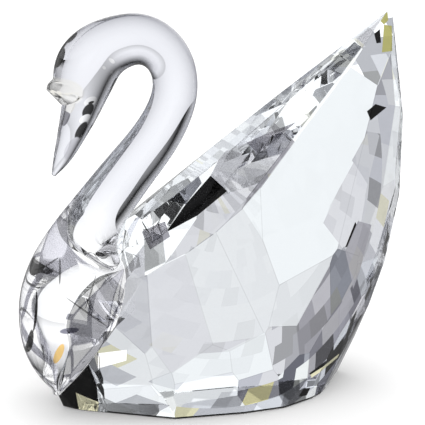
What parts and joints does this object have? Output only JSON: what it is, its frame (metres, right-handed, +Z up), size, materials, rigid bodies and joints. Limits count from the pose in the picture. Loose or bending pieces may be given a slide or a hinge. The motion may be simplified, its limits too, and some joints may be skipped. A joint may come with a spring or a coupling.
{
  "type": "crystal swan figurine",
  "caption": "Clear crystal swan figurine: faceted body rising to a pointed tail, smooth curved neck and head glued on at the breast.",
  "frame": {"origin": "centre of the flat underside the swan stands on", "axes": "+Z up, -Y the way the swan faces, +Y towards the tail, +X the swan's left side; X = 0 is its mirror plane"},
  "size_m": [0.0508, 0.1087, 0.1029],
  "materials": {
    "cut_crystal": "polished flat facets with sharp edges",
    "drawn_crystal": "fire polished, smooth",
    "clear_adhesive": "clear cured film"
  },
  "bodies": {
    "root": {"body_crystal": "cut_crystal", "neck_and_head": "drawn_crystal", "bond_layer": "clear_adhesive"}
  },
  "joints": []
}
